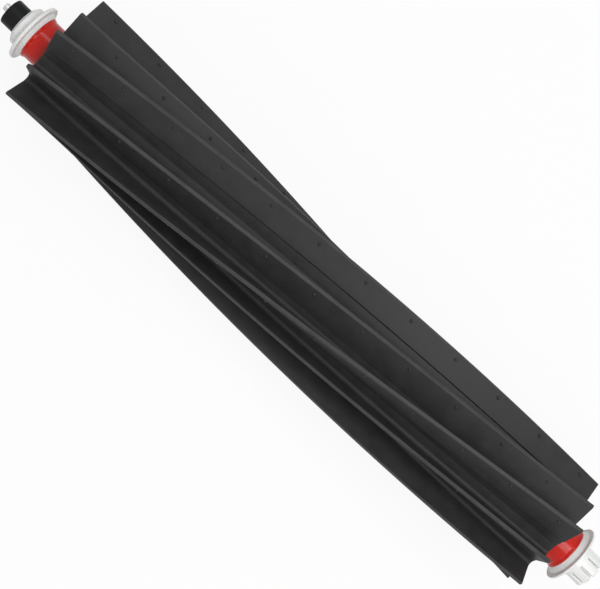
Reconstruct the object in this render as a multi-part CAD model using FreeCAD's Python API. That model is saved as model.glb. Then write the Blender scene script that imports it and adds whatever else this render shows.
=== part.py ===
import FreeCAD, Part
import math
import os

from FreeCAD import Vector

# Roller brush of a robot vacuum, in millimetres.
# +X runs along the axis from the bearing end to the drive end, +Z is up, and the origin lies on the axis
# halfway between the two ends. Angles about the axis are in degrees, from +Y towards +Z.

# Core tube, whose ends are the two necks
CORE_RADIUS = 5.1
CORE_WALL = 1.5
COLLAR_RADIUS = 5.35
COLLAR_LENGTH = 0.25
COLLAR_SLOPE = 0.5
BEARING_NECK_LENGTH = 4.75
DRIVE_NECK_LENGTH = 4.75

# Rubber sleeve and its fins
SLEEVE_LENGTH = 151.4
SLEEVE_WALL = 3.2
FIN_PAIRS = 5
TWIST = -77.9
FIRST_TALL_TIP_ANGLE = 3.8
SHORT_TIP_LAG = 38.4
TALL_FIN_HEIGHT = 7.1
TALL_FIN_SWEEP = 22.0
SHORT_FIN_HEIGHT = 4.5
SHORT_FIN_SWEEP = 19.5
TIP_THICKNESS = 0.85
ROOT_THICKNESS = 1.7
UNDERCUT_DEPTH = 0.4
UNDERCUT_HEIGHT = 2.3
UNDERCUT_SLOPE = 0.2
ROOT_FILLET = 0.9

# Axle, bush, ring and cap of the bearing
AXLE_RADIUS = 0.9
AXLE_TIP_LENGTH = 1.5
AXLE_TIP_CHAMFER = 0.25
AXLE_GRIP_LENGTH = 8.0
RING_THICKNESS = 0.35
RING_RADIUS = 1.6
RING_OPENING_ANGLE = 60.0
GROOVE_DEPTH = 0.28
BUSH_LENGTH = 2.3
BUSH_WALL = 1.3
CAP_WALL = 0.87
CAP_END_WALL = 0.6
CAP_CHAMFER = 0.25

# White guard at the bearing end
GUARD_FACE_RADIUS = 3.7
GUARD_BOSS_RADIUS = 4.85
GUARD_BOSS_TAPER = 0.75
GUARD_BOSS_EASING = 0.3
GUARD_LENGTH = 4.45
GUARD_RIM_RADIUS = 7.05
GUARD_RIM_EASING = 0.2
GUARD_RIM_INSET = 0.85
GUARD_RIM_WIDTH = 0.8
GUARD_WALL_LENGTH = 0.1
GUARD_WALL_FOOT_RADIUS = 6.45
GUARD_WAIST_RADIUS = 6.15
GUARD_WAIST_INSET = 2.7

# White coupling at the drive end
FLANGE_RADIUS = 7.1
FLANGE_INSET = 1.1
FLANGE_FOOT_RADIUS = 6.5
FLANGE_WALL_LENGTH = 0.1
FLANGE_WIDTH = 0.6
FLANGE_EASING = 0.15
LIP_RADIUS = 6.2
LIP_WIDTH = 0.3
DOG_RADIUS = 3.95
DOG_BASE_LENGTH = 1.8
DOG_SPLINE_LENGTH = 3.65
DOG_CHAMFER = 0.3
GROOVE_COUNT = 9
GROOVE_WIDTH = 0.55
GROOVE_FLOOR_RADIUS = 2.9
FIRST_GROOVE_ANGLE = 98.4

# Spigots and keys that hold the white pieces in the core
SPIGOT_LENGTH = 10.0
KEY_COUNT = 2
KEY_WIDTH = 1.6
KEY_HEIGHT = 0.6
KEY_LENGTH = 5.0

# Clearances
SEAT_CLEARANCE = 0.03
RUNNING_CLEARANCE = 0.05
RING_PLAY = 0.15
CAP_GAP = 0.15
AXLE_HOLE_CLEARANCE = 0.15

# Sizes worked out from the ones above
CORE_LENGTH = BEARING_NECK_LENGTH + SLEEVE_LENGTH + DRIVE_NECK_LENGTH
HUB_RADIUS = CORE_RADIUS + SEAT_CLEARANCE + SLEEVE_WALL
CORE_BORE = CORE_RADIUS - CORE_WALL
SPIGOT_RADIUS = CORE_BORE - SEAT_CLEARANCE
BUSH_BORE = AXLE_RADIUS + RUNNING_CLEARANCE
BUSH_RADIUS = BUSH_BORE + BUSH_WALL
CAP_BORE = BUSH_RADIUS + SEAT_CLEARANCE
CAP_RADIUS = CAP_BORE + CAP_WALL
RING_CHAMBER = RING_THICKNESS + 2 * RING_PLAY
CAP_LENGTH = CAP_END_WALL + RING_CHAMBER + BUSH_LENGTH
BEARING_END_LENGTH = AXLE_TIP_LENGTH + CAP_LENGTH + CAP_GAP + GUARD_LENGTH
DOG_START = FLANGE_INSET + FLANGE_WALL_LENGTH + FLANGE_WIDTH + LIP_WIDTH
DRIVE_END_LENGTH = DOG_START + DOG_BASE_LENGTH + DOG_SPLINE_LENGTH
OVERALL_LENGTH = BEARING_END_LENGTH + CORE_LENGTH + DRIVE_END_LENGTH

# Stations along the axis
AXLE_START = -OVERALL_LENGTH / 2
CAP_START = AXLE_START + AXLE_TIP_LENGTH
BUSH_START = CAP_START + CAP_END_WALL + RING_CHAMBER
GUARD_START = CAP_START + CAP_LENGTH + CAP_GAP
CORE_START = GUARD_START + GUARD_LENGTH
SLEEVE_START = CORE_START + BEARING_NECK_LENGTH
CORE_END = CORE_START + CORE_LENGTH
GROOVE_START = CAP_START + CAP_END_WALL + RING_PLAY

AXIS = Vector(1, 0, 0)
ORIGIN = Vector(0, 0, 0)


def around(x, radius, angle):
    """Point at a station, a radius and an angle about the axis."""
    turn = math.radians(angle)
    return Vector(x, radius * math.cos(turn), radius * math.sin(turn))


def eased_outline(corners):
    """Closed wire through (point, easing) corners, each cut off by its easing along both of its sides."""
    points = []
    for index, (corner, easing) in enumerate(corners):
        if easing == 0:
            points.append(corner)
            continue
        before = (corners[index - 1][0] - corner).normalize()
        after = (corners[(index + 1) % len(corners)][0] - corner).normalize()
        points.append(corner + before * easing)
        points.append(corner + after * easing)
    return Part.makePolygon(points + points[:1])


def turned(profile):
    """Solid turned about the axis from (station, radius, easing) corners of its half section."""
    corners = [(Vector(station, radius, 0), easing) for station, radius, easing in profile]
    return Part.Face(eased_outline(corners)).revolve(ORIGIN, AXIS, 360)


def bar(start, length, radius):
    """Round bar on the axis."""
    return Part.makeCylinder(radius, length, Vector(start, 0, 0), AXIS)


def radial_blocks(start, length, inner, outer, width, count, first_angle):
    """Ring of straight blocks about the axis, each reaching from an inner to an outer radius."""
    block = Part.makeBox(length, outer - inner, width, Vector(start, inner, -width / 2))
    blocks = []
    for index in range(count):
        turned_block = block.copy()
        turned_block.rotate(ORIGIN, AXIS, first_angle + index * 360 / count)
        blocks.append(turned_block)
    return blocks


def on_circle(point, direction, radius):
    """Where a line from a point, in a direction, leaves a circle about the axis."""
    along = point.dot(direction)
    return point + direction * (math.sqrt(along * along - point.dot(point) + radius * radius) - along)


def root_fillet(point, direction):
    """Arc points from a fin's trailing face to the hub."""
    outward = AXIS.cross(direction) * ROOT_FILLET
    centre = on_circle(point + outward, direction, HUB_RADIUS + ROOT_FILLET)
    on_face = centre - outward
    on_hub = centre * (HUB_RADIUS / (HUB_RADIUS + ROOT_FILLET))
    middle = centre + ((on_face - centre) + (on_hub - centre)).normalize() * ROOT_FILLET
    return on_face, middle, on_hub


def fin_edges(tip_angle, height, sweep, undercut):
    """Edges of one fin's section at the bearing end's plane, from its leading root to its trailing root."""
    tip_radius = HUB_RADIUS + height
    tip = around(0, tip_radius, tip_angle)
    root = around(0, HUB_RADIUS, tip_angle + sweep)
    upwards = (tip - root).normalize()
    trailing = AXIS.cross(upwards)
    tip_half = trailing * (TIP_THICKNESS / 2)
    root_half = trailing * (ROOT_THICKNESS / 2)
    leading_way = (tip - tip_half - root + root_half).normalize()
    trailing_way = (tip + tip_half - root - root_half).normalize()
    leading_tip = on_circle(root - root_half, leading_way, tip_radius)
    trailing_tip = on_circle(root + root_half, trailing_way, tip_radius)
    base = root + root_half
    if undercut:
        base = base - trailing * UNDERCUT_DEPTH
    lead_hub = on_circle(root - root_half, leading_way, HUB_RADIUS)
    trail_face, trail_middle, trail_hub = root_fillet(base, trailing_way)
    land_middle = (leading_tip + trailing_tip).normalize() * tip_radius
    edges = [
        Part.LineSegment(lead_hub, leading_tip).toShape(),
        Part.Arc(leading_tip, land_middle, trailing_tip).toShape(),
    ]
    if undercut:
        lip = root + root_half + trailing_way * UNDERCUT_HEIGHT
        recess = base + trailing_way * (UNDERCUT_HEIGHT - UNDERCUT_SLOPE)
        edges.append(Part.LineSegment(trailing_tip, lip).toShape())
        edges.append(Part.LineSegment(lip, recess).toShape())
        edges.append(Part.LineSegment(recess, trail_face).toShape())
    else:
        edges.append(Part.LineSegment(trailing_tip, trail_face).toShape())
    edges.append(Part.Arc(trail_face, trail_middle, trail_hub).toShape())
    return edges, lead_hub, trail_hub


def sleeve_section():
    """Closed outline of the sleeve's section: the fins in turn, joined by the narrow valley floors."""
    fins = []
    for index in range(FIN_PAIRS):
        tall_angle = FIRST_TALL_TIP_ANGLE + index * 360 / FIN_PAIRS
        fins.append(fin_edges(tall_angle, TALL_FIN_HEIGHT, TALL_FIN_SWEEP, True))
        fins.append(fin_edges(tall_angle + SHORT_TIP_LAG, SHORT_FIN_HEIGHT, SHORT_FIN_SWEEP, False))
    edges = []
    for index, (fin, _, valley_start) in enumerate(fins):
        valley_end = fins[(index + 1) % len(fins)][1]
        edges.extend(fin)
        edges.append(Part.LineSegment(valley_start, valley_end).toShape())
    return Part.Wire(edges)


def rubber_sleeve():
    """Finned sleeve: its section carried along the axis while it turns, with a round bore for the core."""
    spine = Part.Wire(Part.LineSegment(ORIGIN, AXIS * SLEEVE_LENGTH).toShape())
    pitch = SLEEVE_LENGTH * 360 / abs(TWIST)
    guide = Part.makeHelix(pitch, SLEEVE_LENGTH, HUB_RADIUS, 0, TWIST < 0)
    guide.rotate(ORIGIN, Vector(0, 1, 0), 90)
    sweep = Part.BRepOffsetAPI.MakePipeShell(spine)
    sweep.setAuxiliarySpine(guide, True, 0)
    sweep.add(sleeve_section())
    sweep.build()
    sweep.makeSolid()
    bore = bar(0, SLEEVE_LENGTH, CORE_RADIUS + SEAT_CLEARANCE)
    sleeve = sweep.shape().cut(bore)
    sleeve.translate(AXIS * SLEEVE_START)
    return sleeve


def core_tube():
    """Core tube with a collar at each end and slots in its bore for the end pieces' keys."""
    tube = turned([
        (CORE_START, CORE_BORE, 0),
        (CORE_START, COLLAR_RADIUS, 0),
        (CORE_START + COLLAR_LENGTH, COLLAR_RADIUS, 0),
        (CORE_START + COLLAR_LENGTH + COLLAR_SLOPE, CORE_RADIUS, 0),
        (CORE_END - COLLAR_LENGTH - COLLAR_SLOPE, CORE_RADIUS, 0),
        (CORE_END - COLLAR_LENGTH, COLLAR_RADIUS, 0),
        (CORE_END, COLLAR_RADIUS, 0),
        (CORE_END, CORE_BORE, 0),
    ])
    slot_length = KEY_LENGTH + SEAT_CLEARANCE
    slot_width = KEY_WIDTH + 2 * SEAT_CLEARANCE
    slot_radius = CORE_BORE + KEY_HEIGHT + SEAT_CLEARANCE
    for start in (CORE_START, CORE_END - slot_length):
        tube = tube.cut(radial_blocks(start, slot_length, 0, slot_radius, slot_width, KEY_COUNT, 0))
    return tube


def spigot_keys(start):
    """Keys that stand out of a spigot and turn the core with it."""
    foot = SPIGOT_RADIUS - KEY_HEIGHT
    return radial_blocks(start, KEY_LENGTH, foot, CORE_BORE + KEY_HEIGHT, KEY_WIDTH, KEY_COUNT, 0)


def idle_guard():
    """White end piece at the bearing end: tapered boss, rim, and a bored spigot in the core."""
    wall_foot = CORE_START - GUARD_RIM_INSET
    rim_inner = wall_foot - GUARD_WALL_LENGTH
    rim_outer = rim_inner - GUARD_RIM_WIDTH
    waist = CORE_START - GUARD_WAIST_INSET
    bore = AXLE_RADIUS + SEAT_CLEARANCE
    spigot_end = CORE_START + SPIGOT_LENGTH
    body = turned([
        (GUARD_START, bore, 0),
        (GUARD_START, GUARD_FACE_RADIUS, GUARD_BOSS_EASING),
        (GUARD_START + GUARD_BOSS_TAPER, GUARD_BOSS_RADIUS, GUARD_BOSS_EASING),
        (waist, GUARD_BOSS_RADIUS, 0),
        (waist, GUARD_WAIST_RADIUS, 0),
        (rim_outer, GUARD_RIM_RADIUS, GUARD_RIM_EASING),
        (rim_inner, GUARD_RIM_RADIUS, GUARD_RIM_EASING),
        (wall_foot, GUARD_WALL_FOOT_RADIUS, 0),
        (CORE_START, COLLAR_RADIUS, 0),
        (CORE_START, SPIGOT_RADIUS, 0),
        (spigot_end, SPIGOT_RADIUS, 0),
        (spigot_end, bore, 0),
    ])
    return body.fuse(spigot_keys(CORE_START)).removeSplitter()


def drive_coupling():
    """White end piece at the drive end: rim with a lip, splined dog, and a spigot in the core."""
    flange_foot = CORE_END + FLANGE_INSET
    flange_inner = flange_foot + FLANGE_WALL_LENGTH
    flange_outer = flange_inner + FLANGE_WIDTH
    dog_start = CORE_END + DOG_START
    dog_end = CORE_END + DRIVE_END_LENGTH
    spline_start = dog_end - DOG_SPLINE_LENGTH
    spigot_end = CORE_END - SPIGOT_LENGTH
    body = turned([
        (spigot_end, 0, 0),
        (spigot_end, SPIGOT_RADIUS, 0),
        (CORE_END, SPIGOT_RADIUS, 0),
        (CORE_END, COLLAR_RADIUS, 0),
        (flange_foot, FLANGE_FOOT_RADIUS, 0),
        (flange_inner, FLANGE_RADIUS, FLANGE_EASING),
        (flange_outer, FLANGE_RADIUS, FLANGE_EASING),
        (flange_outer, LIP_RADIUS, 0),
        (dog_start, LIP_RADIUS, 0),
        (dog_start, DOG_RADIUS, 0),
        (dog_end, DOG_RADIUS, DOG_CHAMFER),
        (dog_end, 0, 0),
    ])
    grooves = radial_blocks(
        spline_start, DOG_SPLINE_LENGTH, GROOVE_FLOOR_RADIUS, DOG_RADIUS + DOG_CHAMFER,
        GROOVE_WIDTH, GROOVE_COUNT, FIRST_GROOVE_ANGLE,
    )
    keyed = body.fuse(spigot_keys(CORE_END - KEY_LENGTH)).removeSplitter()
    return keyed.cut(grooves)


def axle_pin():
    """Steel axle, chamfered at its tip, with a groove for the ring and its other end gripped in the guard."""
    axle_end = CORE_START + AXLE_GRIP_LENGTH
    groove_radius = AXLE_RADIUS - GROOVE_DEPTH
    groove_end = GROOVE_START + RING_THICKNESS
    return turned([
        (AXLE_START, 0, 0),
        (AXLE_START, AXLE_RADIUS, AXLE_TIP_CHAMFER),
        (GROOVE_START, AXLE_RADIUS, 0),
        (GROOVE_START, groove_radius, 0),
        (groove_end, groove_radius, 0),
        (groove_end, AXLE_RADIUS, 0),
        (axle_end, AXLE_RADIUS, 0),
        (axle_end, 0, 0),
    ])


def retaining_ring():
    """Open ring that sits in the axle's groove, inside the cap."""
    bore = AXLE_RADIUS - GROOVE_DEPTH + SEAT_CLEARANCE
    start = GROOVE_START + SEAT_CLEARANCE
    thickness = RING_THICKNESS - 2 * SEAT_CLEARANCE
    section = Part.makePolygon([
        Vector(start, bore, 0),
        Vector(start + thickness, bore, 0),
        Vector(start + thickness, RING_RADIUS, 0),
        Vector(start, RING_RADIUS, 0),
        Vector(start, bore, 0),
    ])
    return Part.Face(section).revolve(ORIGIN, AXIS, 360 - RING_OPENING_ANGLE)


def bearing_bush():
    """Plain bush in which the axle runs."""
    return bar(BUSH_START, BUSH_LENGTH, BUSH_RADIUS).cut(bar(BUSH_START, BUSH_LENGTH, BUSH_BORE))


def bearing_cap():
    """Black cap over the bush, open towards the guard, with a hole in its end for the axle's tip."""
    hole = AXLE_RADIUS + AXLE_HOLE_CLEARANCE
    cap_end = CAP_START + CAP_LENGTH
    return turned([
        (CAP_START, hole, 0),
        (CAP_START, CAP_RADIUS, CAP_CHAMFER),
        (cap_end, CAP_RADIUS, 0),
        (cap_end, CAP_BORE, 0),
        (CAP_START + CAP_END_WALL, CAP_BORE, 0),
        (CAP_START + CAP_END_WALL, hole, 0),
    ])


PIECES = (
    rubber_sleeve,
    core_tube,
    idle_guard,
    drive_coupling,
    axle_pin,
    retaining_ring,
    bearing_bush,
    bearing_cap,
)

os.makedirs("parts", exist_ok=True)
for piece in PIECES:
    shape = piece()
    shape.exportStep("parts/" + piece.__name__ + ".step")
    box = shape.BoundBox
    print(
        piece.__name__, "solids", len(shape.Solids), "valid", shape.isValid(),
        "volume", round(shape.Volume, 2), "x", round(box.XMin, 3), round(box.XMax, 3),
    )
print("overall length", round(OVERALL_LENGTH, 3))
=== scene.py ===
import logging
import math
from collections.abc import Iterable, Sequence
from dataclasses import dataclass
from enum import Enum
from typing import Any

import bmesh
import bpy
from bpy.types import ID, Material, Mesh, Node, NodeSocket, NodeTree, Object, World
from mathutils import Matrix, Vector


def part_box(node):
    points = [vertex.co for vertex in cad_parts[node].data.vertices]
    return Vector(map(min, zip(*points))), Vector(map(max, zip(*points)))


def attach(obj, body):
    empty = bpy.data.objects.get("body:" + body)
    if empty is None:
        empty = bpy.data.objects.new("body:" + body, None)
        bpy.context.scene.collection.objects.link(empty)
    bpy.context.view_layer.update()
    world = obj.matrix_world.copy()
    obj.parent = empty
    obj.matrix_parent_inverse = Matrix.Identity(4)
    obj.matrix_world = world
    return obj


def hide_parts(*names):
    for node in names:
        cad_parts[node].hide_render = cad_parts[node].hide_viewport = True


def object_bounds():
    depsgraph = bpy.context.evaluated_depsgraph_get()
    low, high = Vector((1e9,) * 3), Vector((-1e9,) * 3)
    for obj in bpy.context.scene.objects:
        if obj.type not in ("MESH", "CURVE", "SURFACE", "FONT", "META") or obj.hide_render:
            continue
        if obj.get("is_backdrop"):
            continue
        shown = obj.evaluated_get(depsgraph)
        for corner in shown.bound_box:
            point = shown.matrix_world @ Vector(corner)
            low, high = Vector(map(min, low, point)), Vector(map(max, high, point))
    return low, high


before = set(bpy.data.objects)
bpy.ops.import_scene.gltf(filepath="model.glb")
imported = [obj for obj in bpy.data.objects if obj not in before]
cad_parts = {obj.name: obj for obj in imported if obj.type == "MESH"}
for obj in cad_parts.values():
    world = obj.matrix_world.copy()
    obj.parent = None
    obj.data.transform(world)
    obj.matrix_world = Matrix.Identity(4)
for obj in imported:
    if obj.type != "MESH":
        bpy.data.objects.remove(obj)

# Looks of a robot vacuum's roller brush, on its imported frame. Sizes are in millimetres and meshes in metres.
# +X runs along the axis towards the drive end, and angles about it are in degrees, from +Y towards +Z.

MM = 0.001
FULL_TURN = 360.0
WHITE = (1.0, 1.0, 1.0, 1.0)
LOG = logging.getLogger("roller_brush")


class Body(Enum):
    """Bodies of the frame that the pieces ride on."""

    BEARING = "bearing"
    ROLLER = "roller"


class Slot(Enum):
    """Material slots of the record."""

    FIN_RUBBER = "fin_rubber"
    RED_PLASTIC = "red_plastic"
    WHITE_PLASTIC = "white_plastic"
    AXLE_STEEL = "axle_steel"
    BUSH_BRONZE = "bush_bronze"
    BLACK_PLASTIC = "black_plastic"


@dataclass(frozen=True)
class Span:
    """Stretch of the axis that a node of the frame takes up."""

    start: float
    end: float

    @classmethod
    def of(cls, node: str) -> "Span":
        """Read a node's stretch from its box.

        Args:
            node: name of the node in the frame.

        Returns:
            Its first and last station, in millimetres.
        """
        low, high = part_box(node)
        return cls(low.x / MM, high.x / MM)

    @property
    def length(self) -> float:
        """Distance between the two stations."""
        return self.end - self.start


@dataclass(frozen=True)
class Corner:
    """Corner of a section, with the radius that rounds it, its share of the painted tip highlight and how far
    it flares.
    """

    u: float
    v: float
    radius: float = 0.0
    # Share of the painted tip highlight, a paler colour that stands in for light along the fin tips
    tip_highlight: float = 0.0
    flare: float = 0.0

    @property
    def point(self) -> Vector:
        """Place of the corner in its section's plane."""
        return Vector((self.u, self.v))


@dataclass
class Graph:
    """Node tree that is filled by naming nodes, their settings and their inputs."""

    tree: NodeTree

    def node(self, kind: str, inputs: dict[Any, Any] | None = None, **settings: Any) -> Node:
        """Add a node.

        Args:
            kind: Blender's name of the node type.
            inputs: socket name or number, with a value or the socket that feeds it.
            **settings: properties of the node itself, set before its inputs.

        Returns:
            The new node.
        """
        made = self.tree.nodes.new(kind)
        for name, value in settings.items():
            setattr(made, name, value)
        for key, value in (inputs or {}).items():
            if isinstance(value, NodeSocket):
                self.tree.links.new(value, made.inputs[key])
            else:
                made.inputs[key].default_value = value
        return made

    def result(self, kind: str, inputs: dict[Any, Any] | None = None, **settings: Any) -> NodeSocket:
        """Add a node and return its first output."""
        return self.node(kind, inputs, **settings).outputs[0]

    def along_x(self, value: NodeSocket) -> NodeSocket:
        """Add a vector along X."""
        return self.result("ShaderNodeCombineXYZ", {"X": value})

    def maths(self, operation: str, *terms: Any) -> NodeSocket:
        """Add a Math node and return its result."""
        return self.result("ShaderNodeMath", dict(enumerate(terms)), operation=operation)

    def vector_maths(self, operation: str, inputs: dict[Any, Any]) -> NodeSocket:
        """Add a Vector Math node and return its vector."""
        return self.node("ShaderNodeVectorMath", inputs, operation=operation).outputs["Vector"]


def fresh_graph(owner: Material | World) -> Graph:
    """Give a material or a world an empty node tree.

    Args:
        owner: what the tree belongs to.

    Returns:
        The tree, to be filled.
    """
    owner.use_nodes = True
    owner.node_tree.nodes.clear()
    return Graph(owner.node_tree)


def add_object(name: str, data: ID) -> Object:
    """Put a new object into the scene, at the origin.

    Args:
        name: name of the object.
        data: its mesh, light or camera.

    Returns:
        The object.
    """
    made = bpy.data.objects.new(name, data)
    bpy.context.scene.collection.objects.link(made)
    return made


@dataclass
class NodeTool:
    """Geometry Nodes tree with named inputs, which turns a start mesh into a finished plain mesh."""

    name: str
    sockets: dict[str, str]

    def __post_init__(self) -> None:
        """Make the empty tree with its sockets."""
        tree = bpy.data.node_groups.new(self.name, "GeometryNodeTree")
        tree.interface.new_socket("Geometry", in_out="OUTPUT", socket_type="NodeSocketGeometry")
        tree.interface.new_socket("Geometry", in_out="INPUT", socket_type="NodeSocketGeometry")
        for label, kind in self.sockets.items():
            tree.interface.new_socket(label, in_out="INPUT", socket_type=kind)
        self.graph = Graph(tree)
        self.inputs = self.graph.node("NodeGroupInput").outputs

    def finish(self, geometry: NodeSocket) -> None:
        """End the tree with realized instances, smooth faces and the material.

        Args:
            geometry: what the tree has made.
        """
        graph = self.graph
        real = graph.result("GeometryNodeRealizeInstances", {"Geometry": geometry})
        smooth = graph.result("GeometryNodeSetShadeSmooth", {0: real})
        dressing = {"Geometry": smooth, "Material": self.inputs["Material"]}
        graph.node("NodeGroupOutput", {"Geometry": graph.result("GeometryNodeSetMaterial", dressing)})

    def mesh(self, start: Mesh, values: dict[str, Any]) -> Mesh:
        """Run the tree once.

        Args:
            start: mesh that goes into the tree.
            values: value of each named input.

        Returns:
            The result as a plain mesh.
        """
        carrier = add_object(self.name, start)
        modifier = carrier.modifiers.new(self.name, "NODES")
        modifier.node_group = self.graph.tree
        for item in self.graph.tree.interface.items_tree:
            if item.in_out == "INPUT" and item.name in values:
                modifier[item.identifier] = values[item.name]
        carrier.update_tag()
        shown = carrier.evaluated_get(bpy.context.evaluated_depsgraph_get())
        made = bpy.data.meshes.new_from_object(shown)
        carrier.modifiers.remove(modifier)
        bpy.data.objects.remove(carrier)
        return made


# Turn between two points of an arc, the least number of such turns, and how far outside it flats get a point
ARC_STEP = math.radians(13.0)
ARC_LEAST_STEPS = 2
ARC_SUPPORT = 0.05

# What the points of a section carry: their share of the painted tip highlight, and the ways into the material
# and outwards
TIP_HIGHLIGHT = "tip_highlight"
INWARD = "inward"
FLARE = "flare"


def rounded_outline(corners: Sequence[Corner]) -> list[Vector]:
    """Turn each rounded corner of a closed section into an arc that meets both of its sides.

    Args:
        corners: corners in order, the last one joined to the first.

    Returns:
        Points of the outline, each with its share of the painted tip highlight and its flare as third and
        fourth value. One more point lies just outside each end of an arc, which keeps the flats flat in
        shading.
    """
    outline = []
    for index, corner in enumerate(corners):
        here = corner.point
        if corner.radius == 0.0:
            outline.append(Vector((*here, corner.tip_highlight, corner.flare)))
            continue
        previous = corners[index - 1]
        following = corners[(index + 1) % len(corners)]
        before = (previous.point - here).normalized()
        after = (following.point - here).normalized()
        half = before.angle(after) / 2
        reach = corner.radius / math.tan(half)
        centre = here + (before + after).normalized() * (corner.radius / math.sin(half))
        first = here + before * reach - centre
        last = here + after * reach - centre
        start = math.atan2(first.y, first.x)
        sweep = math.remainder(math.atan2(last.y, last.x) - start, math.tau)
        steps = max(ARC_LEAST_STEPS, math.ceil(abs(sweep) / ARC_STEP))
        edge = here + before * (reach + ARC_SUPPORT)
        outline.append(Vector((*edge, min(corner.tip_highlight, previous.tip_highlight), corner.flare)))
        for step in range(steps + 1):
            angle = start + sweep * step / steps
            spot = centre + Vector((math.cos(angle), math.sin(angle))) * corner.radius
            outline.append(Vector((*spot, corner.tip_highlight, corner.flare)))
        edge = here + after * (reach + ARC_SUPPORT)
        outline.append(Vector((*edge, min(corner.tip_highlight, following.tip_highlight), corner.flare)))
    return outline


def polar(radius: float, angle: float) -> Vector:
    """Point of a section at a radius and an angle about the axis, in degrees."""
    return Vector((radius * math.cos(math.radians(angle)), radius * math.sin(math.radians(angle))))


def on_circle(point: Vector, direction: Vector, radius: float) -> Vector:
    """Find where a line leaves a circle about the axis.

    Args:
        point: start of the line, in the section's plane.
        direction: unit vector along the line.
        radius: radius of the circle.

    Returns:
        The crossing point.
    """
    along = point.dot(direction)
    return point + direction * (math.sqrt(along * along - point.dot(point) + radius * radius) - along)


def ring_mesh(name: str, loops: Iterable[Sequence[Vector]]) -> Mesh:
    """Lay closed section loops flat as rings of edges, with what each point carries along the rail.

    Args:
        name: name of the mesh.
        loops: outlines with the material on their left, in millimetres.

    Returns:
        Mesh of edges, turned half round because a profile on a rail along +X comes out that way. Each point
        has its share of the painted tip highlight, the way into the material and the way that it flares.
    """
    points = []
    inwards = []
    flares = []
    # Share of the painted tip highlight at each point
    highlight_shares = []
    edges = []
    for loop in loops:
        base = len(points)
        count = len(loop)
        for index, point in enumerate(loop):
            along = (loop[(index + 1) % count] - loop[index - 1]).xy.normalized()
            highlight_shares.append(point.z)
            points.append((-point.x * MM, -point.y * MM, 0.0))
            inwards.append((0.0, -along.y, along.x))
            outwards = point.xy.normalized() * point.w
            flares.append((0.0, outwards.x, outwards.y))
            edges.append((base + index, base + (index + 1) % count))
    mesh = bpy.data.meshes.new(name)
    mesh.from_pydata(points, edges, [])
    for label, ways in ((INWARD, inwards), (FLARE, flares)):
        attribute = mesh.attributes.new(label, "FLOAT_VECTOR", "POINT")
        for index, way in enumerate(ways):
            attribute.data[index].vector = way
    # Attribute that carries the painted tip highlight to the rubber's material
    tip_highlight = mesh.attributes.new(TIP_HIGHLIGHT, "FLOAT", "POINT")
    for index, share in enumerate(highlight_shares):
        tip_highlight.data[index].value = share
    return mesh


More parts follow.
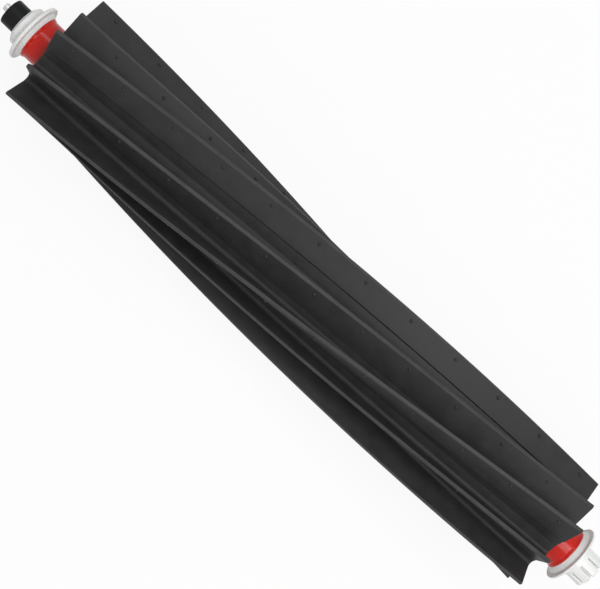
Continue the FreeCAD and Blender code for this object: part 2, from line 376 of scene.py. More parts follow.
class Moulding(NodeTool):
    """Tool that carries a section along the axis as it turns, and rounds and flares both of its ends.

    Attributes:
        CLUSTER: how far the stations crowd towards the ends, from 0 to 1.
        FLARE_POWER: how late the flare sets in towards an end.
        END_REACH: how far from an end its open edges are looked for.
        FLAT_END: least share of a face's normal along the axis that makes it a flat end.
    """

    CLUSTER = 0.98
    FLARE_POWER = 6.0
    END_REACH = 1.0
    FLAT_END = 0.999

    def __init__(self) -> None:
        """Build the tree."""
        super().__init__("section_moulding", {
            "Start": "NodeSocketFloat",
            "Length": "NodeSocketFloat",
            "Twist": "NodeSocketFloat",
            "Steps": "NodeSocketInt",
            "Start Radius": "NodeSocketFloat",
            "End Radius": "NodeSocketFloat",
            "Flare": "NodeSocketFloat",
            "Material": "NodeSocketMaterial",
        })
        graph = self.graph
        inputs = self.inputs
        profile = graph.result("GeometryNodeMeshToCurve", {"Mesh": inputs["Geometry"]})
        line = graph.result("GeometryNodeCurvePrimitiveLine", {"Start": (0, 0, 0), "End": (1, 0, 0)})
        rail = graph.result("GeometryNodeResampleCurve", {"Curve": line, "Count": inputs["Steps"]})
        share = graph.node("GeometryNodeSplineParameter").outputs["Factor"]
        wave = graph.maths("SINE", graph.maths("MULTIPLY", share, math.tau))
        eased = graph.maths("SUBTRACT", share, graph.maths("MULTIPLY", wave, self.CLUSTER / math.tau))
        station = graph.maths("MULTIPLY_ADD", eased, inputs["Length"], inputs["Start"])
        rail = graph.result("GeometryNodeSetPosition", {"Geometry": rail, "Position": graph.along_x(station)})
        tube = graph.result("GeometryNodeCurveToMesh", {"Curve": rail, "Profile Curve": profile})
        where = graph.result("GeometryNodeInputPosition")
        x = graph.node("ShaderNodeSeparateXYZ", {0: where}).outputs["X"]
        from_start = graph.maths("SUBTRACT", x, inputs["Start"])
        to_end = graph.maths("SUBTRACT", inputs["Length"], from_start)
        inset = graph.maths(
            "ADD",
            self.edge_inset(from_start, inputs["Start Radius"]),
            self.edge_inset(to_end, inputs["End Radius"]),
        )
        passed = graph.maths("DIVIDE", from_start, inputs["Length"])
        # 0 in the middle and 1 at both ends
        off_middle = graph.maths("ABSOLUTE", graph.maths("MULTIPLY_ADD", passed, 2.0, -1.0))
        spread = graph.maths("MULTIPLY", graph.maths("POWER", off_middle, self.FLARE_POWER), inputs["Flare"])
        shift = graph.vector_maths("SCALE", {0: self.way(INWARD), "Scale": inset})
        rounded = graph.vector_maths("ADD", {0: where, 1: shift})
        stretch = graph.vector_maths("SCALE", {0: self.way(FLARE), "Scale": spread})
        moved = graph.vector_maths("ADD", {0: rounded, 1: stretch})
        turn = graph.maths("MULTIPLY", inputs["Twist"], passed)
        turning = {"Vector": moved, "Angle": turn}
        turned = graph.result("ShaderNodeVectorRotate", turning, rotation_type="X_AXIS")
        self.finish(graph.result("GeometryNodeSetPosition", {"Geometry": tube, "Position": turned}))

    def way(self, name: str) -> NodeSocket:
        """Add the node that reads a direction which the section's points carry."""
        return self.graph.node(
            "GeometryNodeInputNamedAttribute", {"Name": name}, data_type="FLOAT_VECTOR"
        ).outputs["Attribute"]

    def edge_inset(self, distance: NodeSocket, radius: NodeSocket) -> NodeSocket:
        """Add the nodes that round an end's edge.

        Args:
            distance: distance from that end.
            radius: radius of the rounding.

        Returns:
            How far the surface lies inside the section there.
        """
        graph = self.graph
        short = graph.maths("MAXIMUM", graph.maths("SUBTRACT", radius, distance), 0.0)
        square = graph.maths("SUBTRACT", graph.maths("POWER", radius, 2.0), graph.maths("POWER", short, 2.0))
        return graph.maths("SUBTRACT", radius, graph.maths("SQRT", graph.maths("MAXIMUM", square, 0.0)))

    def solid(
        self,
        name: str,
        loops: Iterable[Sequence[Vector]],
        span: Span,
        material: Material,
        steps: int,
        twist: float = 0.0,
        start_radius: float = 0.0,
        end_radius: float = 0.0,
        flare: float = 0.0,
    ) -> Mesh:
        """Mould a closed solid.

        Args:
            name: name of the mesh.
            loops: outlines of the section, in millimetres.
            span: stretch of the axis that the solid takes up.
            material: finish of all its faces.
            steps: number of stations along the rail.
            twist: turn of the section from the start to the end, in degrees.
            start_radius: rounding of the edges at the start.
            end_radius: rounding of the edges at the end.
            flare: how much further out the flared corners stand at both ends.

        Returns:
            The mesh, with both ends closed and its faces outwards.
        """
        made = self.mesh(ring_mesh(name + "_section", loops), {
            "Start": span.start * MM,
            "Length": span.length * MM,
            "Twist": math.radians(twist),
            "Steps": steps,
            "Start Radius": start_radius * MM,
            "End Radius": end_radius * MM,
            "Flare": flare * MM,
            "Material": material,
        })
        made.name = name
        shape = bmesh.new()
        shape.from_mesh(made)
        for station in (span.start * MM, span.end * MM):
            rim = [
                edge for edge in shape.edges
                if edge.is_boundary and abs(edge.verts[0].co.x - station) < self.END_REACH * MM
            ]
            bmesh.ops.triangle_fill(shape, edges=rim, use_beauty=True, normal=(1, 0, 0))
        bmesh.ops.recalc_face_normals(shape, faces=shape.faces)
        for face in shape.faces:
            face.smooth = abs(face.normal.x) < self.FLAT_END
            face.material_index = 0
        shape.to_mesh(made)
        shape.free()
        return made


class PipRows(NodeTool):
    """Tool that sets rows of small moulded pips along the fins, which turn with them."""

    SEGMENTS = 12
    RINGS = 7

    def __init__(self) -> None:
        """Build the tree."""
        super().__init__("pip_rows", {
            "Count": "NodeSocketInt",
            "First Station": "NodeSocketFloat",
            "Spacing": "NodeSocketFloat",
            "Sleeve Start": "NodeSocketFloat",
            "Twist Rate": "NodeSocketFloat",
            "Copies": "NodeSocketInt",
            "Place": "NodeSocketVector",
            "Facing": "NodeSocketFloat",
            "Width": "NodeSocketFloat",
            "Height": "NodeSocketFloat",
            "Material": "NodeSocketMaterial",
        })
        graph = self.graph
        inputs = self.inputs
        ball = graph.node(
            "GeometryNodeMeshUVSphere", {"Segments": self.SEGMENTS, "Rings": self.RINGS, "Radius": 1.0}
        ).outputs["Mesh"]
        half_width = graph.maths("MULTIPLY", inputs["Width"], 0.5)
        size = graph.result("ShaderNodeCombineXYZ", {"X": half_width, "Y": half_width, "Z": inputs["Height"]})
        pip = graph.result("GeometryNodeTransform", {
            "Geometry": ball,
            "Translation": inputs["Place"],
            "Rotation": graph.along_x(inputs["Facing"]),
            "Scale": size,
        })
        line = graph.result("GeometryNodeMeshLine", {
            "Count": inputs["Count"],
            "Start Location": graph.along_x(inputs["First Station"]),
            "Offset": graph.along_x(inputs["Spacing"]),
        })
        where = graph.result("GeometryNodeInputPosition")
        x = graph.node("ShaderNodeSeparateXYZ", {0: where}).outputs["X"]
        from_start = graph.maths("SUBTRACT", x, inputs["Sleeve Start"])
        turn = graph.maths("MULTIPLY", from_start, inputs["Twist Rate"])
        row = graph.result(
            "GeometryNodeInstanceOnPoints", {"Points": line, "Instance": pip, "Rotation": graph.along_x(turn)}
        )
        hub = graph.result("GeometryNodeMeshLine", {"Count": inputs["Copies"], "Offset": (0, 0, 0)})
        index = graph.result("GeometryNodeInputIndex")
        angle = graph.maths("MULTIPLY", index, graph.maths("DIVIDE", math.tau, inputs["Copies"]))
        self.finish(graph.result(
            "GeometryNodeInstanceOnPoints", {"Points": hub, "Instance": row, "Rotation": graph.along_x(angle)}
        ))


# Faces round a turned piece, the angle from which its edges are sharp, and the radius that counts as the axis
TURNED_SEGMENTS = 120
SHARP_ANGLE = math.radians(50.0)
ON_AXIS = 0.05


def turned_mesh(name: str, corners: Sequence[Corner], material: Material) -> Mesh:
    """Turn a half section about the axis.

    Args:
        name: name of the mesh.
        corners: (station, radius) corners of the closed half section, with their roundings.
        material: finish of all faces.

    Returns:
        Closed mesh in metres, smooth but for its sharp corners, with its faces outwards.
    """
    shape = bmesh.new()
    rings = []
    for point in rounded_outline(corners):
        x = point.x * MM
        if point.y < ON_AXIS:
            rings.append([shape.verts.new((x, 0.0, 0.0))])
            continue
        ring = []
        for index in range(TURNED_SEGMENTS):
            spot = polar(point.y * MM, FULL_TURN * index / TURNED_SEGMENTS)
            ring.append(shape.verts.new((x, spot.x, spot.y)))
        rings.append(ring)
    for index, ring in enumerate(rings):
        other = rings[index - 1]
        if len(ring) == 1 and len(other) == 1:
            continue
        for side in range(TURNED_SEGMENTS):
            following = (side + 1) % TURNED_SEGMENTS
            quad = [
                other[side % len(other)], other[following % len(other)],
                ring[following % len(ring)], ring[side % len(ring)],
            ]
            shape.faces.new(dict.fromkeys(quad))
    bmesh.ops.recalc_face_normals(shape, faces=shape.faces)
    for face in shape.faces:
        face.smooth = True
    mesh = bpy.data.meshes.new(name)
    shape.to_mesh(mesh)
    shape.free()
    mesh.set_sharp_from_angle(angle=SHARP_ANGLE)
    mesh.materials.append(material)
    return mesh


def joined_mesh(name: str, parts: Sequence[Mesh], material: Material) -> Mesh:
    """Put several meshes of one finish into one.

    Args:
        name: name of the new mesh.
        parts: meshes to join.
        material: finish of all faces.

    Returns:
        The joined mesh.
    """
    shape = bmesh.new()
    for part in parts:
        shape.from_mesh(part)
    for face in shape.faces:
        face.material_index = 0
    mesh = bpy.data.meshes.new(name)
    shape.to_mesh(mesh)
    shape.free()
    mesh.materials.append(material)
    return mesh


def place_piece(mesh: Mesh, body: Body, slot: Slot, *nodes: str) -> None:
    """Put a finished mesh into the scene, as an object at the origin.

    Args:
        mesh: mesh in the frame's own coordinates.
        body: body that the piece rides on.
        slot: record slot that its finish belongs to; not used.
        *nodes: nodes of the frame that it stands for.
    """
    piece = add_object(mesh.name, mesh)
    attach(piece, body.value)
    if nodes:
        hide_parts(*nodes)
    LOG.info("%s rides on %s with %d faces", piece.name, body.value, len(mesh.polygons))


def dress_node(name: str, material: Material) -> None:
    """Give a node of the frame a better material.

    Args:
        name: name of the node.
        material: its new finish.
    """
    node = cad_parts[name]
    node.data.materials.clear()
    node.data.materials.append(material)
    LOG.info("%s keeps its own mesh", name)


# Numbers of a Mix node's sockets when it mixes colours
MIX_FACTOR = 0
MIX_A = 6
MIX_B = 7
MIX_COLOUR = 2

# How the noise of the patches and of the grain is made, and which stretch of the patches the looks follow
PATCH_DETAIL = 4.0
PATCH_ROUGHNESS = 0.55
PATCH_LOW = 0.3
PATCH_HIGH = 0.7
SHADE_LOW = 0.35
SHADE_HIGH = 0.65
GRAIN_DETAIL = 2.0


def by_patch(graph: Graph, patch: NodeSocket, low: float, high: float) -> NodeSocket:
    """Add the node that lets a value follow the patches.

    Args:
        graph: tree of the material.
        patch: soft noise from 0 to 1.
        low: value where the noise is low.
        high: value where it is high.

    Returns:
        The value.
    """
    return graph.result("ShaderNodeMapRange", {
        "Value": patch, "From Min": PATCH_LOW, "From Max": PATCH_HIGH, "To Min": low, "To Max": high,
    })


@dataclass(frozen=True)
class Finish:
    """What every finish has: two shades that run into each other, a range of gloss and a fine grain."""

    name: str
    shade_a: tuple[float, float, float]
    shade_b: tuple[float, float, float]
    roughness_low: float
    roughness_high: float
    patch_scale: float
    grain_scale: float
    grain_depth: float
    stretch: tuple[float, float, float] = (1.0, 1.0, 1.0)
    metallic: float = 0.0
    specular: float = 0.5

    def material(self) -> Material:
        """Build the material.

        Returns:
            Node material on object coordinates.
        """
        made = bpy.data.materials.new(self.name)
        graph = fresh_graph(made)
        place = graph.node("ShaderNodeTexCoord").outputs["Object"]
        drawn = graph.result("ShaderNodeMapping", {"Vector": place, "Scale": self.stretch})
        patch = graph.node("ShaderNodeTexNoise", {
            "Vector": drawn, "Scale": self.patch_scale, "Detail": PATCH_DETAIL, "Roughness": PATCH_ROUGHNESS,
        }).outputs["Fac"]
        grain = graph.node(
            "ShaderNodeTexNoise", {"Vector": drawn, "Scale": self.grain_scale, "Detail": GRAIN_DETAIL}
        ).outputs["Fac"]
        relief = graph.result(
            "ShaderNodeBump", {"Height": grain, "Strength": 1.0, "Distance": self.grain_depth * MM}
        )
        surface = graph.result("ShaderNodeBsdfPrincipled", {
            "Base Color": self.colour(graph, patch),
            "Roughness": by_patch(graph, patch, self.roughness_low, self.roughness_high),
            "Normal": relief,
            "Metallic": self.metallic,
            "Specular IOR Level": self.specular,
        })
        graph.node("ShaderNodeOutputMaterial", {"Surface": surface})
        return made

    def colour(self, graph: Graph, patch: NodeSocket) -> NodeSocket:
        """Mix the two shades by the patches.

        Args:
            graph: tree of the material.
            patch: soft noise from 0 to 1.

        Returns:
            The colour of the surface.
        """
        ramp = graph.node("ShaderNodeValToRGB", {"Fac": patch})
        low, high = ramp.color_ramp.elements
        low.position = SHADE_LOW
        high.position = SHADE_HIGH
        low.color = (*self.shade_a, 1.0)
        high.color = (*self.shade_b, 1.0)
        return ramp.outputs["Color"]


@dataclass(frozen=True)
class TipHighlightRubber(Finish):
    """Rubber with a painted highlight: its fin tips are painted in a paler colour."""

    # Paler colour painted onto the fin tips as a highlight, and its share where the patches are low and high
    painted_tip_colour: tuple[float, float, float] = (0.06, 0.06, 0.06)
    highlight_low: float = 0.4
    highlight_high: float = 0.9

    def colour(self, graph: Graph, patch: NodeSocket) -> NodeSocket:
        """Mix the paler colour of the painted tip highlight in towards the tips.

        Args:
            graph: tree of the material.
            patch: soft noise from 0 to 1.

        Returns:
            The colour of the surface.
        """
        plain = super().colour(graph, patch)
        # Where the painted tip highlight lies, faded by the patches
        highlight_mask = graph.node("ShaderNodeAttribute", attribute_name=TIP_HIGHLIGHT).outputs["Fac"]
        share = graph.maths("MULTIPLY", highlight_mask, by_patch(graph, patch, self.highlight_low, self.highlight_high))
        shades = {MIX_FACTOR: share, MIX_A: plain, MIX_B: (*self.painted_tip_colour, 1.0)}
        return graph.node("ShaderNodeMix", shades, data_type="RGBA").outputs[MIX_COLOUR]


@dataclass(frozen=True)
class Finishes:
    """All finishes of the brush."""

    # The rubber paints a highlight onto its fin tips
    rubber: Finish = TipHighlightRubber(
        "moulded_rubber", (0.028, 0.028, 0.028), (0.035, 0.035, 0.0345),
        roughness_low=0.46, roughness_high=0.56, patch_scale=260.0, grain_scale=3200.0, grain_depth=0.02,
        specular=0.17,
    )
    red: Finish = Finish(
        "red_gloss_plastic", (0.5, 0.009, 0.003), (0.58, 0.013, 0.005),
        roughness_low=0.16, roughness_high=0.23, patch_scale=180.0, grain_scale=2500.0, grain_depth=0.003,
        stretch=(0.3, 1.0, 1.0), specular=0.24,
    )
    white: Finish = Finish(
        "white_plastic", (0.77, 0.78, 0.765), (0.82, 0.83, 0.815),
        roughness_low=0.36, roughness_high=0.46, patch_scale=200.0, grain_scale=3000.0, grain_depth=0.006,
    )
    black: Finish = Finish(
        "black_plastic", (0.005, 0.0055, 0.006), (0.009, 0.0095, 0.0105),
        roughness_low=0.36, roughness_high=0.48, patch_scale=300.0, grain_scale=5200.0, grain_depth=0.012,
        specular=0.12,
    )
    steel: Finish = Finish(
        "turned_steel", (0.48, 0.48, 0.475), (0.6, 0.6, 0.59),
        roughness_low=0.24, roughness_high=0.38, patch_scale=900.0, grain_scale=5000.0, grain_depth=0.004,
        stretch=(6.0, 0.4, 0.4), metallic=1.0,
    )
    bronze: Finish = Finish(
        "sintered_bronze", (0.36, 0.22, 0.1), (0.5, 0.32, 0.16),
        roughness_low=0.38, roughness_high=0.52, patch_scale=1400.0, grain_scale=6000.0, grain_depth=0.01,
        metallic=1.0,
    )


@dataclass(frozen=True)
class FinSection:
    """Section of one fin: its corners from the leading root to the trailing root, and its trailing face."""

    corners: list[Corner]
    tip: Vector
    way: Vector


@dataclass
class RubberSleeve:
    """Finned rubber sleeve with its rows of pips."""

    hub_radius: float = 8.33
    bore_radius: float = 5.13
    bore_points: int = 72
    fin_pairs: int = 5
    twist: float = -77.9
    first_tall_tip_angle: float = 3.8
    short_tip_lag: float = 38.4
    tall_height: float = 7.1
    tall_sweep: float = 22.0
    short_height: float = 4.5
    short_sweep: float = 19.5
    short_flare: float = 0.8
    tip_thickness: float = 0.85
    root_thickness: float = 1.7
    undercut_depth: float = 0.4
    undercut_height: float = 2.3
    undercut_slope: float = 0.2
    tip_rounding: float = 0.26
    root_rounding: float = 0.85
    lip_rounding: float = 0.15
    recess_rounding: float = 0.12
    end_rounding: float = 0.22
    steps: int = 132
    tall_pips: int = 12
    short_pips: int = 11
    pip_spacing: float = 12.85
    pip_inset: float = 1.5
    pip_width: float = 0.85
    pip_height: float = 0.35

    def fin(
        self, tip_angle: float, height: float, sweep: float, undercut: bool, flare: float
    ) -> FinSection:
        """Work out one fin's section.

        Args:
            tip_angle: angle of its tip at the sleeve's start.
            height: how far it stands out of the hub.
            sweep: how far its root lies behind its tip.
            undercut: whether the foot of its trailing face is cut back.
            flare: share of the flare that its tip takes part in.

        Returns:
            The section at the sleeve's start.
        """
        tip = polar(self.hub_radius + height, tip_angle)
        root = polar(self.hub_radius, tip_angle + sweep)
        upwards = (tip - root).normalized()
        trailing = Vector((-upwards.y, upwards.x))
        tip_half = trailing * (self.tip_thickness / 2)
        root_half = trailing * (self.root_thickness / 2)
        leading_way = (tip - tip_half - root + root_half).normalized()
        trailing_way = (tip + tip_half - root - root_half).normalized()
        tip_radius = self.hub_radius + height
        leading_tip = on_circle(root - root_half, leading_way, tip_radius)
        trailing_tip = on_circle(root + root_half, trailing_way, tip_radius)
        leading_root = on_circle(root - root_half, leading_way, self.hub_radius)
        base = root + root_half
        corners = [
            Corner(*leading_root, self.root_rounding),
            # The tip corners carry the full painted highlight
            Corner(*leading_tip, self.tip_rounding, tip_highlight=1.0, flare=flare),
            Corner(*trailing_tip, self.tip_rounding, tip_highlight=1.0, flare=flare),
        ]
        if undercut:
            lip = base + trailing_way * self.undercut_height
            base = base - trailing * self.undercut_depth
            recess = base + trailing_way * (self.undercut_height - self.undercut_slope)
            corners.append(Corner(*lip, self.lip_rounding))
            corners.append(Corner(*recess, self.recess_rounding))
        trailing_root = on_circle(base, trailing_way, self.hub_radius)
        corners.append(Corner(*trailing_root, self.root_rounding))
        return FinSection(corners, trailing_tip, trailing_way)

    def tall_fin(self, index: int) -> FinSection:
        """Section of a tall fin."""
        angle = self.first_tall_tip_angle + index * FULL_TURN / self.fin_pairs
        return self.fin(angle, self.tall_height, self.tall_sweep, undercut=True, flare=0.0)

    def short_fin(self, index: int) -> FinSection:
        """Section of the short fin behind a tall one."""
        angle = self.first_tall_tip_angle + self.short_tip_lag + index * FULL_TURN / self.fin_pairs
        return self.fin(angle, self.short_height, self.short_sweep, undercut=False, flare=1.0)

    def loops(self) -> list[list[Vector]]:
        """Outlines of the section.

        Returns:
            The finned outline and the round bore.
        """
        corners = []
        for index in range(self.fin_pairs):
            corners.extend(self.tall_fin(index).corners)
            corners.extend(self.short_fin(index).corners)
        bore = [
            Vector((*polar(self.bore_radius, -FULL_TURN * index / self.bore_points), 0.0, 0.0))
            for index in range(self.bore_points)
        ]
        return [rounded_outline(corners), bore]

    def pips(self, tool: PipRows, span: Span, count: int, fin: FinSection, rubber: Material) -> Mesh:
        """Make the pips of all tall or all short fins.

        Args:
            tool: tool that sets the rows.
            span: stretch of the axis that the sleeve takes up.
            count: pips in each row.
            fin: section of the first such fin.
            rubber: finish of the pips.

        Returns:
            Mesh of the pips.
        """
        place = fin.tip - fin.way * self.pip_inset
        facing = math.atan2(fin.way.x, -fin.way.y) - math.pi / 2
        middle = (span.start + span.end) / 2
        return tool.mesh(bpy.data.meshes.new("pip_start"), {
            "Count": count,
            "First Station": (middle - (count - 1) * self.pip_spacing / 2) * MM,
            "Spacing": self.pip_spacing * MM,
            "Sleeve Start": span.start * MM,
            "Twist Rate": math.radians(self.twist) / (span.length * MM),
            "Copies": self.fin_pairs,
            "Place": (0.0, place.x * MM, place.y * MM),
            "Facing": facing,
            "Width": self.pip_width * MM,
            "Height": self.pip_height * MM,
            "Material": rubber,
        })

    def build(self, rubber: Material) -> None:
        """Build and place the sleeve and its pips.

        Args:
            rubber: finish of both.
        """
        span = Span.of("rubber_sleeve")
        sleeve = Moulding().solid(
            "finned_sleeve", self.loops(), span, rubber, self.steps, twist=self.twist,
            start_radius=self.end_rounding, end_radius=self.end_rounding, flare=self.short_flare,
        )
        place_piece(sleeve, Body.ROLLER, Slot.FIN_RUBBER, "rubber_sleeve")
        tool = PipRows()
        pips = joined_mesh("fin_pips", [
            self.pips(tool, span, self.tall_pips, self.tall_fin(0), rubber),
            self.pips(tool, span, self.short_pips, self.short_fin(0), rubber),
        ], rubber)
        place_piece(pips, Body.ROLLER, Slot.FIN_RUBBER)


@dataclass
class CoreTube:
    """Red core, seen as the two necks."""

    radius: float = 5.1
    bore: float = 3.6
    collar_radius: float = 5.35
    collar_length: float = 0.25
    collar_slope: float = 0.5
    collar_rounding: float = 0.08
    edge_rounding: float = 0.12
    neck_rounding: float = 0.6

    def build(self, red: Material) -> None:
        """Build and place the core.

        Args:
            red: its finish.
        """
        span = Span.of("core_tube")
        slope_start = self.collar_length + self.collar_slope
        tube = turned_mesh("core_necks", [
            Corner(span.start, self.bore),
            Corner(span.start, self.collar_radius, self.edge_rounding),
            Corner(span.start + self.collar_length, self.collar_radius, self.collar_rounding),
            Corner(span.start + slope_start, self.radius, self.neck_rounding),
            Corner(span.end - slope_start, self.radius, self.neck_rounding),
            Corner(span.end - self.collar_length, self.collar_radius, self.collar_rounding),
            Corner(span.end, self.collar_radius, self.edge_rounding),
            Corner(span.end, self.bore),
        ], red)
        place_piece(tube, Body.ROLLER, Slot.RED_PLASTIC, "core_tube")


@dataclass
class IdleGuard:
    """White guard at the bearing end."""

    bore: float = 0.93
    face_radius: float = 3.7
    boss_radius: float = 4.85
    boss_taper: float = 0.75
    rim_radius: float = 7.05
    rim_inset: float = 0.85
    rim_width: float = 0.7
    wall_length: float = 0.2
    wall_foot_radius: float = 6.1
    waist_radius: float = 6.15
    waist_inset: float = 2.1
    foot_radius: float = 5.35
    spigot_radius: float = 3.57
    boss_rounding: float = 0.55
    waist_rounding: float = 0.12
    shoulder_rounding: float = 0.3
    crest_rounding: float = 0.4
    rim_rounding: float = 0.14
    wall_rounding: float = 0.08
    foot_rounding: float = 0.12

    def build(self, white: Material) -> None:
        """Build and place the guard.

        Args:
            white: its finish.
        """
        span = Span.of("idle_guard")
        foot = Span.of("core_tube").start
        waist = foot - self.waist_inset
        wall_foot = foot - self.rim_inset
        rim_inner = wall_foot - self.wall_length
        guard = turned_mesh("hair_guard", [
            Corner(span.start, self.bore),
            Corner(span.start, self.face_radius, self.boss_rounding),
            Corner(span.start + self.boss_taper, self.boss_radius, self.boss_rounding),
            Corner(waist, self.boss_radius, self.waist_rounding),
            Corner(waist, self.waist_radius, self.shoulder_rounding),
            Corner(rim_inner - self.rim_width, self.rim_radius, self.crest_rounding),
            Corner(rim_inner, self.rim_radius, self.rim_rounding),
            Corner(wall_foot, self.wall_foot_radius, self.wall_rounding),
            Corner(foot, self.foot_radius, self.foot_rounding),
            Corner(foot, self.spigot_radius),
            Corner(span.end, self.spigot_radius),
            Corner(span.end, self.bore),
        ], white)
        place_piece(guard, Body.ROLLER, Slot.WHITE_PLASTIC, "idle_guard")


@dataclass
class DriveCoupling:
    """White coupling at the drive end, with its splined dog."""

    spigot_radius: float = 3.57
    foot_radius: float = 5.35
    flange_radius: float = 7.1
    flange_inset: float = 1.1
    flange_foot_radius: float = 6.1
    flange_wall: float = 0.2
    flange_width: float = 0.5
    lip_radius: float = 6.2
    lip_width: float = 0.3
    dog_radius: float = 3.95
    dog_base: float = 1.8
    groove_count: int = 9
    groove_width: float = 0.55
    groove_floor: float = 2.9
    first_groove_angle: float = 98.4
    flange_rounding: float = 0.16
    wall_rounding: float = 0.08
    foot_rounding: float = 0.12
    lip_rounding: float = 0.2
    root_rounding: float = 0.3
    tooth_rounding: float = 0.2
    floor_rounding: float = 0.18
    dog_end_rounding: float = 0.35
    tooth_points: int = 4
    dog_steps: int = 40

    def dog_loop(self) -> list[Vector]:
        """Outline of the dog's section.

        Returns:
            Points round all teeth and grooves.
        """
        half = self.groove_width / 2
        edge_angle = math.degrees(math.asin(half / self.dog_radius))
        pitch = FULL_TURN / self.groove_count
        tooth = pitch - 2 * edge_angle
        corners = []
        for index in range(self.groove_count):
            angle = self.first_groove_angle + index * pitch
            out = polar(1.0, angle)
            side = Vector((-out.y, out.x))
            corners.append(Corner(*(out * self.groove_floor - side * half), self.floor_rounding))
            corners.append(Corner(*(out * self.groove_floor + side * half), self.floor_rounding))
            for step in range(self.tooth_points + 1):
                spot = polar(self.dog_radius, angle + edge_angle + tooth * step / self.tooth_points)
                outermost = step in (0, self.tooth_points)
                corners.append(Corner(*spot, self.tooth_rounding if outermost else 0.0))
        return rounded_outline(corners)

    def build(self, white: Material) -> None:
        """Build and place the coupling.

        Args:
            white: its finish.
        """
        span = Span.of("drive_coupling")
        foot = Span.of("core_tube").end
        wall_foot = foot + self.flange_inset
        flange_start = wall_foot + self.flange_wall
        flange_end = flange_start + self.flange_width
        lip_end = flange_end + self.lip_width
        spline_start = lip_end + self.dog_base
        shell = turned_mesh("coupling_shell", [
            Corner(span.start, 0.0),
            Corner(span.start, self.spigot_radius),
            Corner(foot, self.spigot_radius),
            Corner(foot, self.foot_radius, self.foot_rounding),
            Corner(wall_foot, self.flange_foot_radius, self.wall_rounding),
            Corner(flange_start, self.flange_radius, self.flange_rounding),
            Corner(flange_end, self.flange_radius, self.flange_rounding),
            Corner(flange_end, self.lip_radius),
            Corner(lip_end, self.lip_radius, self.lip_rounding),
            Corner(lip_end, self.dog_radius, self.root_rounding),
            Corner(spline_start, self.dog_radius),
            Corner(spline_start, 0.0),
        ], white)
        dog = Moulding().solid(
            "coupling_dog", [self.dog_loop()], Span(spline_start, span.end), white, self.dog_steps,
            end_radius=self.dog_end_rounding,
        )
        coupler = joined_mesh("drive_coupler", [shell, dog], white)
        place_piece(coupler, Body.ROLLER, Slot.WHITE_PLASTIC, "drive_coupling")


@dataclass
class Bearing:
    """Black cap, steel axle, and the bush and ring inside them."""

    cap_radius: float = 3.15
    cap_bore: float = 2.28
    cap_end_wall: float = 0.6
    cap_hole: float = 1.05
    cap_rounding: float = 0.3
    cap_mouth_rounding: float = 0.08
    axle_radius: float = 0.9
    axle_tip_rounding: float = 0.3
    ring_groove_radius: float = 0.62
    ring_groove_inset: float = 2.25
    ring_groove_width: float = 0.35

    def build(self, finishes: dict[Slot, Material]) -> None:
        """Build and place the cap and the axle, and dress the nodes inside.

        Args:
            finishes: material of each slot.
        """
        cap = Span.of("bearing_cap")
        inner = cap.start + self.cap_end_wall
        cap_mesh = turned_mesh("axle_cap", [
            Corner(cap.start, self.cap_hole),
            Corner(cap.start, self.cap_radius, self.cap_rounding),
            Corner(cap.end, self.cap_radius, self.cap_mouth_rounding),
            Corner(cap.end, self.cap_bore),
            Corner(inner, self.cap_bore),
            Corner(inner, self.cap_hole),
        ], finishes[Slot.BLACK_PLASTIC])
        place_piece(cap_mesh, Body.BEARING, Slot.BLACK_PLASTIC, "bearing_cap")
        axle = Span.of("axle_pin")
        groove = axle.start + self.ring_groove_inset
        axle_mesh = turned_mesh("axle_rod", [
            Corner(axle.start, 0.0),
            Corner(axle.start, self.axle_radius, self.axle_tip_rounding),
            Corner(groove, self.axle_radius),
            Corner(groove, self.ring_groove_radius),
            Corner(groove + self.ring_groove_width, self.ring_groove_radius),
            Corner(groove + self.ring_groove_width, self.axle_radius),
            Corner(axle.end, self.axle_radius),
            Corner(axle.end, 0.0),
        ], finishes[Slot.AXLE_STEEL])
        place_piece(axle_mesh, Body.ROLLER, Slot.AXLE_STEEL, "axle_pin")
        dress_node("bearing_bush", finishes[Slot.BUSH_BRONZE])
        dress_node("retaining_ring", finishes[Slot.AXLE_STEEL])


@dataclass(frozen=True)
class Lamp:
    """Soft oblong lamp that faces the brush.

    Attributes:
        name: name of the lamp.
        place: where it hangs, in metres.
        power: its power in watts.
        length: its side along the brush, in metres.
        width: its other side, in metres.
    """

    name: str
    place: tuple[float, float, float]
    power: float
    length: float
    width: float

    def hang(self) -> None:
        """Add the lamp to the scene."""
        light = bpy.data.lights.new(self.name, "AREA")
        light.energy = self.power
        light.shape = "RECTANGLE"
        light.size = self.length
        light.size_y = self.width
        lamp = add_object(self.name, light)
        lamp.location = self.place
        lamp.rotation_euler = (-Vector(self.place)).to_track_quat("-Z", "Y").to_euler()


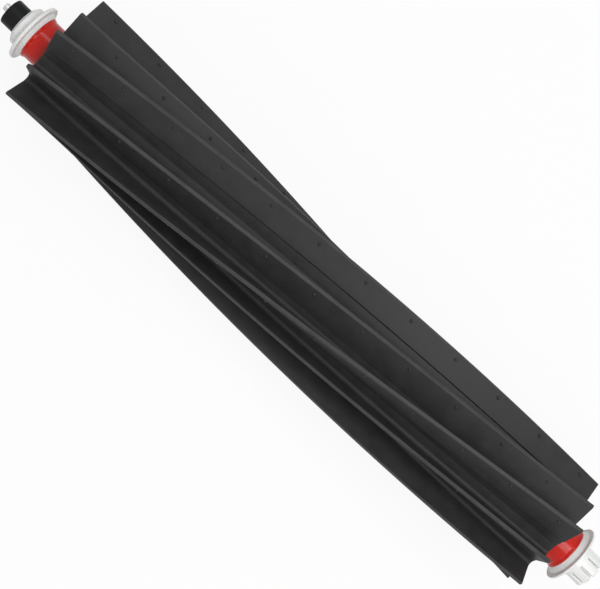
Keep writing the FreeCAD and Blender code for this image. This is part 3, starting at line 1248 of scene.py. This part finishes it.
@dataclass
class Studio:
    """Pale floor, soft light, white surroundings and the camera, with lengths and places in metres."""

    floor_size: float = 8.0
    floor_shade: float = 0.86
    floor_cloud_depth: float = 0.01
    floor_cloud_scale: float = 3.0
    floor_cloud_detail: float = 2.0
    floor_own_white: float = 0.9
    ambient: float = 0.38
    lamps: tuple[Lamp, ...] = (
        Lamp("key_lamp", (0.22, 0.02, 0.57), power=1.4, length=0.32, width=0.32),
        Lamp("upper_lamp", (0.05, 0.23, 0.55), power=1.2, length=0.72, width=0.11),
        Lamp("lower_lamp", (0.05, -0.35, 0.42), power=0.32, length=0.3, width=0.3),
    )
    camera_place: tuple[float, float, float] = (-0.01831, 0.0, 0.29576)
    camera_aim: tuple[float, float, float] = (-0.00039, -0.00048, 0.0)
    roll: float = 44.12
    lens: float = 81.36

    def seen_directly(self, graph: Graph) -> NodeSocket:
        """Tell the rays that show the background from those that only carry its light.

        Args:
            graph: tree of the floor's finish or of the world.

        Returns:
            1 for a camera ray and for one mirrored or let through by a surface, else 0.
        """
        rays = graph.node("ShaderNodeLightPath").outputs
        mirrored = graph.maths("MAXIMUM", rays["Is Glossy Ray"], rays["Is Transmission Ray"])
        return graph.maths("MAXIMUM", rays["Is Camera Ray"], mirrored)

    def floor(self, height: float) -> None:
        """Lay the floor, with a finish that is near white to the camera and still takes shadows.

        Args:
            height: height of its surface, in metres.
        """
        half = self.floor_size / 2
        mesh = bpy.data.meshes.new("floor")
        spots = [(-half, -half, height), (half, -half, height), (half, half, height), (-half, half, height)]
        mesh.from_pydata(spots, [], [(0, 1, 2, 3)])
        finish = bpy.data.materials.new("pale_floor")
        graph = fresh_graph(finish)
        place = graph.node("ShaderNodeTexCoord").outputs["Object"]
        cloud = graph.node("ShaderNodeTexNoise", {
            "Vector": place, "Scale": self.floor_cloud_scale, "Detail": self.floor_cloud_detail,
        }).outputs["Fac"]
        tone = graph.result("ShaderNodeMapRange", {
            "Value": cloud,
            "To Min": self.floor_shade - self.floor_cloud_depth,
            "To Max": self.floor_shade + self.floor_cloud_depth,
        })
        matt = graph.result("ShaderNodeBsdfDiffuse", {"Color": tone})
        white = graph.result("ShaderNodeEmission", {"Color": WHITE, "Strength": 1.0})
        share = graph.maths("MULTIPLY", self.seen_directly(graph), self.floor_own_white)
        mixed = graph.result("ShaderNodeMixShader", {0: share, 1: matt, 2: white})
        graph.node("ShaderNodeOutputMaterial", {"Surface": mixed})
        mesh.materials.append(finish)
        add_object("floor", mesh)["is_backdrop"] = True

    def surroundings(self) -> None:
        """Light the scene softly from all sides, and show white where the camera sees past the floor."""
        world = bpy.data.worlds.new("white_room")
        graph = fresh_graph(world)
        strength = graph.result(
            "ShaderNodeMapRange", {"Value": self.seen_directly(graph), "To Min": self.ambient, "To Max": 1.0}
        )
        light = graph.result("ShaderNodeBackground", {"Color": WHITE, "Strength": strength})
        graph.node("ShaderNodeOutputWorld", {"Surface": light})
        bpy.context.scene.world = world

    def camera(self) -> None:
        """Set the camera where the photograph was taken from."""
        lens = bpy.data.cameras.new("camera")
        lens.lens = self.lens
        camera = add_object("camera", lens)
        back = (Vector(self.camera_place) - Vector(self.camera_aim)).normalized()
        across = Vector((0.0, 1.0, 0.0))
        along = across.cross(back).normalized()
        across = back.cross(along)
        roll = math.radians(self.roll)
        right = along * math.cos(roll) + across * math.sin(roll)
        up = back.cross(right)
        turn = Matrix((right, up, back)).transposed().to_4x4()
        camera.matrix_world = Matrix.Translation(self.camera_place) @ turn
        bpy.context.scene.camera = camera

    def build(self, height: float) -> None:
        """Build the whole studio.

        Args:
            height: height of the floor, in metres.
        """
        self.floor(height)
        for lamp in self.lamps:
            lamp.hang()
        self.surroundings()
        self.camera()
        bpy.context.scene.view_settings.view_transform = "Standard"


def main() -> None:
    """Build the brush and its studio."""
    logging.basicConfig(level=logging.INFO, format="%(name)s: %(message)s")
    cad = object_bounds()
    finishes = Finishes()
    materials = {
        Slot.FIN_RUBBER: finishes.rubber.material(),
        Slot.RED_PLASTIC: finishes.red.material(),
        Slot.WHITE_PLASTIC: finishes.white.material(),
        Slot.BLACK_PLASTIC: finishes.black.material(),
        Slot.AXLE_STEEL: finishes.steel.material(),
        Slot.BUSH_BRONZE: finishes.bronze.material(),
    }
    RubberSleeve().build(materials[Slot.FIN_RUBBER])
    CoreTube().build(materials[Slot.RED_PLASTIC])
    IdleGuard().build(materials[Slot.WHITE_PLASTIC])
    DriveCoupling().build(materials[Slot.WHITE_PLASTIC])
    Bearing().build(materials)
    Studio().build(cad[0].z)


if __name__ == "__main__":
    main()
